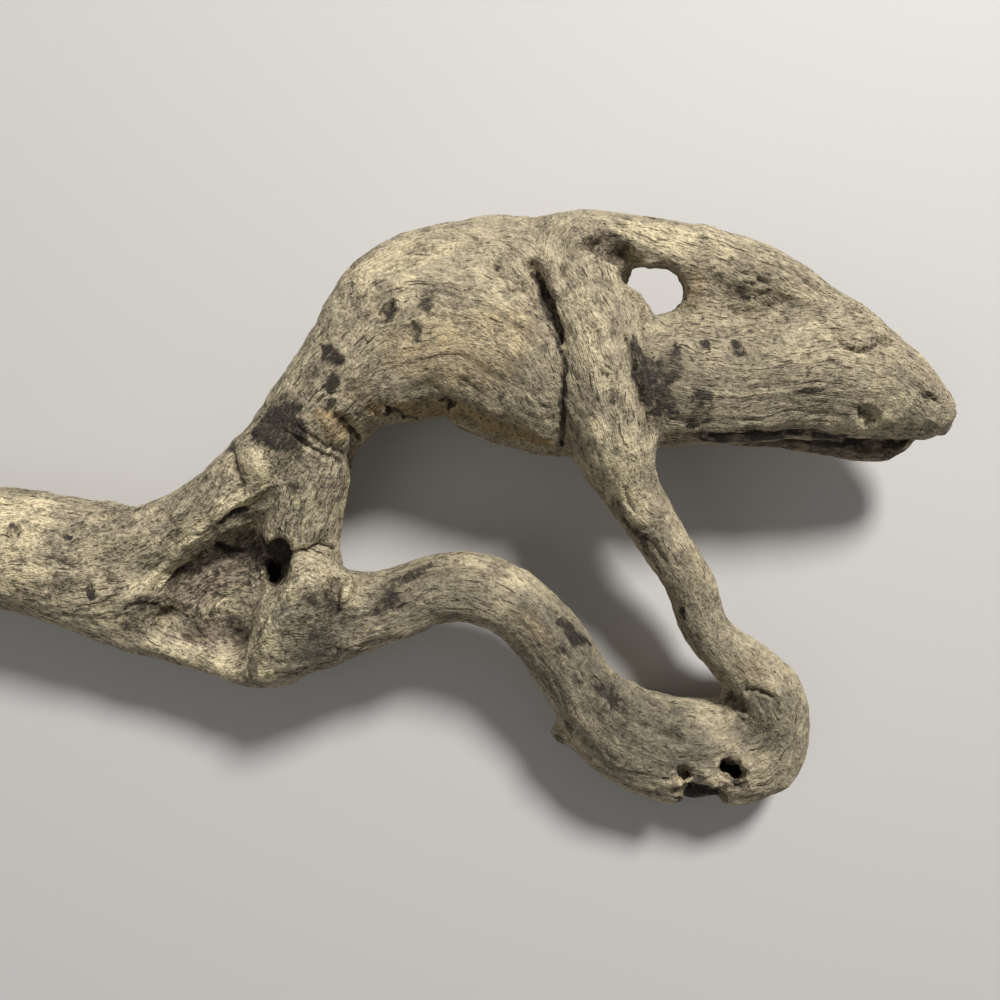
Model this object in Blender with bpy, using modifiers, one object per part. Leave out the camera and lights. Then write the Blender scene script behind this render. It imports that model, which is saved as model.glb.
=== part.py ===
"""A weathered piece of driftwood, grown as one piece of wood.

A thick trunk splits at a hollow elbow. Its upper branch arches over into a blunt, split head. Its lower
branch runs out to a broken hollow foot, where a thin limb comes down to it from the arch.

Metres, +Z up. The origin is on the surface that the wood lies on, below the middle of its outline.
"""

import math

import bmesh
import bpy
import numpy as np
from mathutils import Matrix, Vector
from mathutils.bvhtree import BVHTree
from mathutils.noise import noise

MM = 0.001

# The plan that the limbs are drawn on
EYE_HEIGHT = 490.0
PLAN_HEIGHT = 40.0
PLAN_CENTRE = (51.3, 8.7)

# How the limbs grow together
LIMB_SIDES, LIMB_STEPS = 20, 5
HOLLOW_SIDES, HOLLOW_STEPS = 14, 2
END_STEPS = 5
DOME_REACH = 0.7
DOME_ANGLE = math.radians(86)
UPRIGHT = 0.8
GROWN_VOXEL = 2.1
FILLET_ROUNDS = 20
GROOVE_ROUNDS = 3
FINAL_TRIANGLES = 9900
GROUND_DEPTH = 50.0

# How far the surface swells and sinks between its main forms
SWELL_DEPTH = 1.1
SWELL_LENGTH = 34.0
KNUCKLE_DEPTH = 0.5
KNUCKLE_LENGTH = 13.0

WOOD_COLOUR = (0.42, 0.35, 0.25, 1)
WOOD_ROUGHNESS = 0.85

# Each limb's stations, in millimetres: x, y and half width on the plan, height of its middle, half depth
LIMBS = {
    "trunk": [
        (-301, -21, 26, 32, 26.5),
        (-283, -21, 29.3, 30.5, 29.8),
        (-262, -22, 30, 29.5, 31.2),
        (-225, -28, 32, 29.5, 31.2),
        (-196, -35, 34, 30, 29),
        (-174, -40, 34, 30, 25),
    ],
    "upper_ridge": [
        (-212, -22, 21, 34, 22),
        (-178, -21, 19, 37, 22),
        (-152, -10, 18, 40, 22),
        (-126, 9, 18, 43, 24),
        (-105, 26, 22, 45, 27),
        (-92, 41, 25, 46, 28),
    ],
    "lower_ridge": [
        (-208, -48, 18, 28, 20),
        (-178, -66, 12, 30, 17),
        (-150, -76, 9, 31, 15),
        (-125, -82, 11, 31, 18),
        (-108, -78, 16, 32, 22),
    ],
    "hollow_floor": [
        (-176, -46, 24, 22, 18),
        (-140, -46, 36, 21, 18),
        (-110, -32, 44, 22, 18),
    ],
    "column": [
        (-94, 30, 22, 43, 26),
        (-95, 10, 20, 42, 26),
        (-99, -10, 20, 40, 25),
        (-101, -30, 20, 38, 24),
    ],
    "arch": [
        (-98, 26, 23, 44, 27),
        (-92, 39, 24, 46, 28),
        (-78, 57, 28.5, 47, 31),
        (-61, 71, 39, 47, 35),
        (-39, 85, 48, 47, 37),
        (-12, 87, 53.5, 47, 37),
        (11, 84, 58, 47, 37),
        (31, 81, 61, 47, 36),
        (48, 79, 55, 47, 33),
        (60, 76, 44, 48, 28),
    ],
    "top_band": [
        (8, 122, 18, 49, 22),
        (38, 128, 16, 51, 20),
        (60, 127, 16, 53, 18),
        (80, 122, 18, 54, 18),
        (102, 115, 20, 54, 19),
        (128, 110, 17, 53, 20),
        (152, 98, 14, 51, 18),
        (174, 87, 12, 49, 14),
        (186, 82, 8, 48, 9),
    ],
    "brow": [
        (107, 122, 16, 53, 17),
        (103, 100, 18, 52, 17),
        (100, 76, 20, 52, 18),
    ],
    "head": [
        (40, 62, 32, 50, 28),
        (70, 58, 31, 52, 26),
        (100, 58, 31, 53, 25),
        (135, 62, 33, 54, 25),
        (170, 62, 33, 53, 24),
        (194, 54, 25, 52, 21),
        (208, 47, 18, 51, 17),
        (215.5, 43.5, 15, 50, 14),
    ],
    "jaw": [
        (88, 47, 18, 32, 10),
        (122, 44, 18, 30, 10),
        (158, 41, 18.5, 30, 9.5),
        (188, 35, 17.5, 32, 9),
        (206, 37, 10, 35, 6.5),
    ],
    "leg": [
        (34, 128, 17, 57, 19),
        (44, 105, 19, 62, 21),
        (52, 78, 22, 65, 22),
        (54, 50, 23, 64, 23),
        (57, 28, 22, 60, 23),
        (64, 7, 15.5, 55, 17),
        (79.5, -17, 12.8, 48, 14),
        (95, -43, 12.4, 42, 13),
        (102, -63, 12.4, 38, 13),
        (111, -73, 13, 35, 13.5),
        (123, -85, 16, 31, 17),
        (132, -98, 20, 26, 22),
        (136, -118, 18, 22, 22.5),
        (130, -132, 16, 20.5, 21),
    ],
    "knee": [
        (-93, -38, 16, 46, 22),
        (-95, -52, 21, 45, 26),
        (-103, -68, 21, 41, 25),
        (-112, -77, 16, 37, 21),
    ],
    "lower_limb": [
        (-104, -62, 24, 40, 26),
        (-88, -59, 25, 41, 26),
        (-72, -56, 21, 41, 21),
        (-52, -52, 18, 43, 18.5),
        (-34, -45, 17.6, 44, 18),
        (-15, -43.5, 17.8, 45, 18),
        (5, -51, 17.6, 43, 18),
        (25, -70, 17.6, 38, 18),
        (42, -95, 19, 32, 19),
        (58, -114, 24, 27, 21),
        (80, -123, 27, 24, 22),
        (104, -126, 27, 22, 23),
        (124, -126, 24, 21.5, 23),
    ],
    "spur": [
        (44, -112, 8, 24, 8),
        (34, -117, 6.5, 24, 6.5),
        (27, -116, 5, 25, 5),
    ],
}

# Round swellings: x, y on the plan, height, and the three half sizes
KNOBS = {
    "hidden_stub": (26, 116, 16, 21, 17, 17.5),
    "elbow_knob": (-123, 20, 46, 13, 14, 19),
    "stub_collar": (-70, -52, 56, 6, 12, 8),
    "band_end": (182, 84, 50, 8, 6, 9),
    "lower_lip": (219, 37, 47, 7, 6.5, 8),
}

# Hollows cut out of the wood: stations as for a limb
HOLLOWS = {
    "foot_chamber": [
        (97, -166, 14, 26, 26),
        (100, -149, 13, 25, 24),
        (103, -141, 12, 21, 14),
        (109, -134, 11, 21, 9),
    ],
    "foot_window": [
        (117, -133, 6.5, 52, 5.5),
        (116, -135, 6.5, 34, 5.5),
        (112, -139, 7, 20, 6),
    ],
    "foot_knot_hole": [
        (91.5, -136, 3.6, 52, 3.6),
        (92, -137, 3.6, 34, 3.6),
        (96, -140, 4, 20, 4),
    ],
    "elbow_pit": [
        (-109, -27, 6, 76, 10),
        (-112, -32, 7, 54, 12),
        (-113, -36, 4.5, 40, 7.5),
        (-113, -38, 2.5, 30, 4),
    ],
    "mouth": [
        (96, 30, 5, 41, 1.4),
        (118, 27, 12, 40.5, 2),
        (145, 25, 13, 40, 2.4),
        (172, 24, 14, 41, 3),
        (192, 24, 14, 42, 3.8),
        (212, 28, 14, 43, 3.6),
        (232, 33, 12, 44, 3),
    ],
    "eye_hole": [
        (80, 106, 17, 92, 14),
        (77.5, 104.5, 15, 66, 12.5),
        (77, 104, 15, 44, 12),
        (78, 103, 17, 10, 14),
    ],
    "eye_corner": [
        (67, 113, 9, 78, 6),
        (68, 112, 8, 58, 6),
        (70, 110, 8, 36, 7),
    ],
}

# Grooves and folds pressed into the upper side: depth, half width, then points on the plan
GROOVES = {
    "body_slit": (9, 5, [(16, 118), (21, 104), (26, 91), (30.5, 81)]),
    "body_crease": (3.5, 5.5, [(30.5, 81), (31.5, 65), (31, 45), (30.5, 27), (34, 15)]),
    "leg_valley": (3.5, 9, [(61, 85), (66, 67), (71, 50), (75, 35), (78, 22)]),
    "neck_fold": (5.5, 5, [(-80, 40), (-73, 34), (-69.5, 27), (-74, 17)]),
    "neck_wrinkle": (1.8, 3.5, [(-108, 34), (-95, 27), (-77, 19)]),
    "knee_crease": (5, 4, [(-119, -50), (-112, -40), (-105, -28), (-91, -23), (-79, -25)]),
    "elbow_groove": (2.5, 4, [(-134, 32), (-132.5, 22), (-130, 12)]),
    "band_pocket": (5, 9, [(51, 126), (61, 122), (67, 116)]),
    "head_dent": (2.5, 7, [(184, 44)]),
    "cheek_hollow": (2, 12, [(120, 95), (135, 90)]),
}


def true_place(x, y, z):
    """Where a point of the plan is, at its own height. A high point is drawn large, as the eye sees it."""
    k = (EYE_HEIGHT - z) / (EYE_HEIGHT - PLAN_HEIGHT)
    return Vector((x * k + PLAN_CENTRE[0], y * k + PLAN_CENTRE[1], z)), k


def spline(rows, t):
    """A Catmull-Rom curve through the rows, at t from 0 to the number of spans."""
    i = min(int(t), len(rows) - 2)
    f = t - i
    near = [min(max(j, 0), len(rows) - 1) for j in range(i - 1, i + 3)]
    p0, p1, p2, p3 = (np.array(rows[j], float) for j in near)
    slope, bend, twist = p2 - p0, 2 * p0 - 5 * p1 + 4 * p2 - p3, 3 * p1 - p0 - 3 * p2 + p3
    return p1 + 0.5 * (slope * f + bend * f**2 + twist * f**3)


def limb_sections(stations, steps):
    """Rows of centre, half width and half depth along a limb, closed by a rounded dome at each end."""
    rows = []
    for x, y, width, z, depth in stations:
        centre, k = true_place(x, y, z)
        rows.append((*centre, width * k, depth))
    body = [spline(rows, i / steps) for i in range((len(rows) - 1) * steps + 1)]
    return dome(body[0], body[1])[::-1] + body[1:-1] + dome(body[-1], body[-2])


def dome(end, inner):
    """Sections that round off a limb past its last one."""
    out = end[:3] - inner[:3]
    out /= np.linalg.norm(out)
    reach = DOME_REACH * min(end[3], end[4])
    made = []
    for i in range(END_STEPS + 1):
        angle = DOME_ANGLE * i / END_STEPS
        section = end.copy()
        section[:3] += out * reach * math.sin(angle)
        section[3:] *= math.cos(angle)
        made.append(section)
    return made


def add_limb(bm, stations, sides, steps):
    """A limb lofted through oval rings. Where it runs upright, its width is along X and its depth along Y."""
    sections = limb_sections(stations, steps)
    centres = [Vector(s[:3]) for s in sections]
    rings = []
    for i, section in enumerate(sections):
        along = (centres[min(i + 1, len(centres) - 1)] - centres[max(i - 1, 0)]).normalized()
        reference = Vector((0, 0, 1)) if abs(along.z) < UPRIGHT else Vector((0, 1, 0))
        across = along.cross(reference).normalized()
        up = across.cross(along)
        place = Matrix((across * section[3], up * section[4], along)).transposed().to_4x4()
        place.translation = centres[i]
        made = bmesh.ops.create_circle(bm, segments=sides, radius=1.0, matrix=Matrix.Scale(MM, 4) @ place)
        rings.append(made["verts"])
    for a, b in zip(rings, rings[1:]):
        edges = {e for ring in (a, b) for v in ring for e in v.link_edges if set(e.verts) <= set(ring)}
        bmesh.ops.bridge_loops(bm, edges=list(edges))
    for ring in (rings[0], rings[-1]):
        bmesh.ops.contextual_create(bm, geom=ring)


def add_knob(bm, x, y, z, *half_sizes):
    """A round swelling."""
    place, _ = true_place(x, y, z)
    matrix = Matrix.Scale(MM, 4) @ Matrix.Translation(place) @ Matrix.Diagonal((*half_sizes, 1))
    bmesh.ops.create_icosphere(bm, subdivisions=3, radius=1.0, matrix=matrix)


def make_object(name, bm, collection):
    """The bmesh as an object in a collection."""
    bmesh.ops.recalc_face_normals(bm, faces=bm.faces)
    mesh = bpy.data.meshes.new(name)
    bm.to_mesh(mesh)
    bm.free()
    obj = bpy.data.objects.new(name, mesh)
    collection.objects.link(obj)
    return obj


def settle(obj):
    """Replaces an object's mesh by what its modifiers make of it."""
    bpy.context.view_layer.update()
    graph = bpy.context.evaluated_depsgraph_get()
    obj.data = bpy.data.meshes.new_from_object(obj.evaluated_get(graph))
    obj.modifiers.clear()


def read_points(mesh, key="co"):
    flat = np.empty(len(mesh.vertices) * 3, np.float32)
    mesh.vertices.foreach_get(key, flat)
    return flat.reshape(-1, 3).astype(float)


def smooth(wood, rounds):
    fillets = wood.modifiers.new("Fillets", "SMOOTH")
    fillets.factor = 0.5
    fillets.iterations = rounds
    settle(wood)


def grow_together(wood):
    """Makes one closed body of the limbs, with a fillet where they meet."""
    grown = wood.modifiers.new("Grown together", "REMESH")
    grown.mode = "VOXEL"
    grown.voxel_size = GROWN_VOXEL * MM
    smooth(wood, FILLET_ROUNDS)


def swell(points, normals):
    """Lets the surface swell and sink a little, as grown wood does."""
    moves = np.empty(len(points))
    for i, p in enumerate(points / MM):
        broad = noise(Vector(p) / SWELL_LENGTH)
        close = noise(Vector(p) / KNUCKLE_LENGTH)
        moves[i] = SWELL_DEPTH * broad + KNUCKLE_DEPTH * close
    return points + normals * (moves * MM)[:, None]


def distance_to_line(points, line):
    """How far each point is from a line of several runs, or from a single point."""
    if len(line) == 1:
        return np.linalg.norm(points - line[0], axis=1)
    nearest = np.full(len(points), np.inf)
    for a, b in zip(line, line[1:]):
        run = b - a
        t = np.clip((points - a) @ run / (run @ run), 0, 1)
        nearest = np.minimum(nearest, np.linalg.norm(points - a - t[:, None] * run, axis=1))
    return nearest


def press_grooves(points, tree):
    """Presses each groove into the upper side. A point of its line that is past the edge is left out."""
    eye = Vector((PLAN_CENTRE[0], PLAN_CENTRE[1], EYE_HEIGHT)) * MM
    for depth, half_width, plan in GROOVES.values():
        line, inward = [], Vector()
        for x, y in plan:
            sight = (true_place(x, y, PLAN_HEIGHT)[0] * MM - eye).normalized()
            place, normal, _, _ = tree.ray_cast(eye, sight)
            if place:
                line.append(np.array(place))
                inward -= normal
        share = np.clip(1 - distance_to_line(points, line) / (half_width * MM), 0, 1)
        share = share * share * (3 - 2 * share)
        points = points + share[:, None] * depth * MM * np.array(inward.normalized())
    return points


def shape_surface(wood):
    """Swells the surface and presses its grooves."""
    mesh = wood.data
    points = swell(read_points(mesh), read_points(mesh, "normal"))
    mesh.vertices.foreach_set("co", points.astype(np.float32).ravel())
    mesh.update()
    tree = BVHTree.FromPolygons([tuple(p) for p in points], [tuple(f.vertices) for f in mesh.polygons])
    points = press_grooves(points, tree)
    mesh.vertices.foreach_set("co", points.astype(np.float32).ravel())
    mesh.update()
    smooth(wood, GROOVE_ROUNDS)


def make_hollows(collection):
    """The bodies of the hollows, which are cut out of the wood, and the ground below it."""
    for name, stations in HOLLOWS.items():
        bm = bmesh.new()
        add_limb(bm, stations, HOLLOW_SIDES, HOLLOW_STEPS)
        make_object(name, bm, collection)
    bm = bmesh.new()
    depth = GROUND_DEPTH * MM
    below = Matrix.Translation((0, 0, -depth / 2)) @ Matrix.Diagonal((1, 1, depth, 1))
    bmesh.ops.create_cube(bm, size=1.0, matrix=below)
    make_object("ground", bm, collection)
    for cutter in collection.objects:
        cutter.hide_render = True
        cutter.display_type = "WIRE"


def cut_hollows(wood, collection):
    """Thins the mesh, then cuts the hollows and the flats that the wood rests on."""
    thin = wood.modifiers.new("Fewer faces", "DECIMATE")
    thin.ratio = FINAL_TRIANGLES / (2 * len(wood.data.polygons))
    for cutter in collection.objects:
        cut = wood.modifiers.new("Cut " + cutter.name, "BOOLEAN")
        cut.operation = "DIFFERENCE"
        cut.object = cutter


def wood_material():
    """Grey-beige weathered wood."""
    material = bpy.data.materials.new("weathered_wood")
    material.use_nodes = True
    finish = material.node_tree.nodes["Principled BSDF"].inputs
    finish["Base Color"].default_value = WOOD_COLOUR
    finish["Roughness"].default_value = WOOD_ROUGHNESS
    finish["Metallic"].default_value = 0.0
    material.diffuse_color = WOOD_COLOUR
    return material


def main():
    for obj in list(bpy.data.objects):
        bpy.data.objects.remove(obj)
    parts = bpy.data.collections.new("Driftwood")
    cutters = bpy.data.collections.new("Hollows")
    for collection in (parts, cutters):
        bpy.context.scene.collection.children.link(collection)
    bm = bmesh.new()
    for stations in LIMBS.values():
        add_limb(bm, stations, LIMB_SIDES, LIMB_STEPS)
    for knob in KNOBS.values():
        add_knob(bm, *knob)
    wood = make_object("driftwood", bm, parts)
    grow_together(wood)
    shape_surface(wood)
    make_hollows(cutters)
    cut_hollows(wood, cutters)
    wood.data.materials.append(wood_material())


if __name__ == "__main__":
    main()
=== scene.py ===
"""A weathered piece of driftwood, lying on a pale table, laid out as an add-on.

The wood is grown from the CAD solid: a few balls are joined to it or cut out, its surface is made finer,
then folds, cracks, pits and grain are carved into it. Places are given on a plan of the upper side, in
millimetres from the middle of the view, true at the height of PLAN_HEIGHT. A point of the plan is found
on the wood by looking from the eye, which is also where the camera stands. Grain follows the middle
lines of the limbs and flows round the knots.
"""

import math

import bmesh
import bpy
import numpy as np
from bpy.props import FloatProperty, FloatVectorProperty, IntProperty, PointerProperty
from mathutils import Euler, Matrix, Vector
from mathutils.bvhtree import BVHTree


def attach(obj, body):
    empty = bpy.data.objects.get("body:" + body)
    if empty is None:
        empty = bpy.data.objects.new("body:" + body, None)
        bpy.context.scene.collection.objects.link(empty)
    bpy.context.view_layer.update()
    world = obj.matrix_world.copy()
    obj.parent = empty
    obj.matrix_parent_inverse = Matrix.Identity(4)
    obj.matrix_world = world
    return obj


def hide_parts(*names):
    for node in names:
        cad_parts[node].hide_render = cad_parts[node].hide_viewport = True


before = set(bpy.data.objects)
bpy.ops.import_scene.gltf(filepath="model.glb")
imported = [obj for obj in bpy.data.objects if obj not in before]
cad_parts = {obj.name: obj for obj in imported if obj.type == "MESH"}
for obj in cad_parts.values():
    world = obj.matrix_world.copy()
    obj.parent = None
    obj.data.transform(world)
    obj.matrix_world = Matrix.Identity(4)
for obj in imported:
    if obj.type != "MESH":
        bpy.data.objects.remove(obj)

bl_info = {
    "name": "Driftwood",
    "version": (1, 0, 0),
    "blender": (4, 5, 0),
    "location": "3D View > Sidebar > Driftwood",
    "description": "Builds a weathered piece of driftwood and the table that it lies on",
    "category": "Object",
}

MM = 0.001

# The eye above the plan
EYE = Vector((51.3, 8.7, 490.0))
PLAN_HEIGHT = 40.0
LENS, SENSOR = 32.4, 36.0

# Plan lines laid on the wood, in millimetres: the gap between points, the lowest point kept, the longest run
# that isn't a jump to another limb, and how much a line's reach narrows at its ends
POINT_GAP = 4
LOWEST_POINT = 3
LONGEST_RUN = 20
TAPER = 0.55

# Grain along the limbs: the gap between stations, the curve's steps from point to point, how wide stations
# blend, how far past a limb its grain reaches, and in how many parts the points are worked out
STATION_GAP = 8
CURVE_STEPS = 12
BLEND_SHARE, BLEND_MARGIN = 0.45, 4
REACH_SHARE, REACH_MARGIN = 1.35, 6
GRAIN_PARTS = 24
OUT_OF_REACH = 99.0

# Noise as heights and sizes: the grain's wandering, the knobbly surface, the ribs along the grain, and what
# makes the edges of forms and tints look grown
NOISE_SEED = 11
WAVES_ALONG = ((4, 34), (1.5, 7))
WAVES_ACROSS = ((2.4, 24), (0.9, 9), (0.45, 4))
KNOBBLY = ((0.9, 26), (0.6, 12), (0.32, 5), (0.16, 3))
RIBS = ((0.62, (46, 7, 7)), (0.42, (20, 3.2, 3.2)), (0.26, (10, 1.7, 1.7)))
FORM_WOBBLE = ((1.0, 9), (0.55, 3.2))
TINT_WOBBLE = ((2.6, 11), (1.6, 4.5))

# Rounds of smoothing: of the finer copy, and to find crests and hollows near a point and further off
BASE_ROUNDS = 26
NEAR_ROUNDS, FAR_ROUNDS = 4, 45

# Where the lights stand and how wide they are, in metres, and the fill's share of the key's power
KEY_PLACE, KEY_WIDTH, KEY_COLOUR = (0.86, 1.62, 1.74), 0.55, (1.0, 0.97, 0.92)
FILL_PLACE, FILL_WIDTH, FILL_COLOUR = (-0.9, -0.5, 1.3), 1.2, (1.0, 0.97, 0.93)
FILL_SHARE = 0.03

# The middle lines that the grain follows: x, y on the plan, height, half thickness
GRAIN_LINES = {
    "trunk_and_body": [
        (-345, -21, 30, 32), (-300, -21, 31, 32), (-262, -22, 30, 31), (-225, -26, 31, 31),
        (-192, -27, 33, 28), (-165, -17, 37, 24), (-142, 0, 42, 23), (-120, 20, 45, 25),
        (-101, 37, 46, 27), (-84, 55, 47, 31), (-62, 72, 47, 37), (-36, 84, 47, 42),
        (-8, 82, 47, 42), (15, 66, 47, 40), (30, 38, 48, 34),
    ],
    "lower_ridge": [
        (-232, -44, 30, 20), (-200, -54, 30, 18), (-175, -65, 30, 15), (-150, -75, 31, 13),
        (-126, -86, 31, 13), (-108, -94, 33, 12),
    ],
    "rotted_floor": [(-200, -66, 22, 14), (-160, -50, 21, 22), (-128, -38, 21, 24), (-108, -20, 23, 18)],
    "column": [
        (-84, 42, 46, 14), (-90, 22, 44, 19), (-97, 2, 43, 20), (-101, -18, 42, 20), (-104, -34, 41, 17),
    ],
    "lower_limb": [
        (-128, -66, 42, 18), (-106, -60, 42, 24), (-86, -58, 41, 24), (-68, -55, 42, 20),
        (-52, -52, 43, 18), (-34, -45, 44, 18), (-15, -43.5, 45, 18), (5, -51, 43, 18),
        (25, -70, 38, 18), (42, -95, 32, 19), (60, -113, 27, 23), (84, -122, 24, 25),
        (108, -122, 22, 25), (128, -113, 22, 22), (139, -98, 25, 18),
    ],
    "knee_top": [(-112, -34, 50, 12), (-96, -31, 51, 14), (-80, -37, 48, 14), (-64, -44, 45, 12)],
    "knee_ridge": [
        (-104, -34, 48, 9), (-111, -48, 47, 11), (-118, -64, 45, 11), (-121, -80, 40, 11), (-117, -92, 36, 9),
    ],
    "leg": [
        (66, 137, 57, 13), (46, 139, 57, 14), (31, 130, 58, 15), (29, 112, 60, 17), (39, 88, 64, 20),
        (50, 62, 65, 22), (56, 34, 61, 22), (64, 7, 55, 16), (79.5, -17, 48, 13), (95, -43, 42, 12.5),
        (102, -63, 38, 12.5), (111, -73, 35, 13), (123, -85, 31, 16), (133, -100, 27, 18),
        (135, -120, 23, 18), (128, -134, 21, 14),
    ],
    "band": [
        (70, 128, 53, 15), (92, 121, 54, 17), (116, 112, 53, 17), (140, 103, 52, 16),
        (164, 92, 50, 14), (184, 82, 48, 11),
    ],
    "head": [
        (66, 70, 50, 20), (92, 64, 52, 29), (122, 62, 53, 32), (152, 63, 54, 33), (178, 60, 53, 31),
        (202, 50, 51, 22), (230, 39, 50, 15),
    ],
    "jaw": [(86, 46, 30, 13), (122, 42, 29, 14), (158, 39, 29, 14), (188, 33, 31, 13), (212, 35, 34, 8)],
    "spur": [(52, -110, 24, 8), (24, -116, 25, 7)],
}

# Knots that the grain flows round: x, y on the plan, radius
KNOTS = [
    (-242.5, -15, 3.5), (-217, -19, 3), (-56, 96, 5), (-35, 92, 4.5), (-1, 116, 4),
    (119, 76, 4.5), (184, 40, 5), (56, 52, 3), (-26, 48, 4),
    (92, -136, 5), (116, -133, 8), (42, 126, 6), (-127, 20, 9), (-135, -56, 12), (101, 77, 4),
]

# Balls joined to the solid, and balls cut out of it: x, y on the plan, height, half sizes, turn in degrees
JOINED = {
    "eye_corner": (63.3, 95.4, 60, (16, 9, 14), -50),
    "arch_floor": (99, -142, 14, (14, 7, 7), 0),
    "cavity_wall": (106, -138, 20, (12, 4, 10), 0),
    "stub": (-76.5, -46, 60, (3.6, 10.5, 7.5), -14),
}
CUT_OUT = {
    "foot_window": (115, -134, 42, (7.5, 5.5, 15), -12),
    "pit_side": (-120.5, -28, 51, (6.5, 10, 11), -10),
    "pit_top": (-109.5, -24.5, 54, (7, 6, 10), 25),
    "arch": (98, -146, 42, (14, 5, 9), 0),
}

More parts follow.
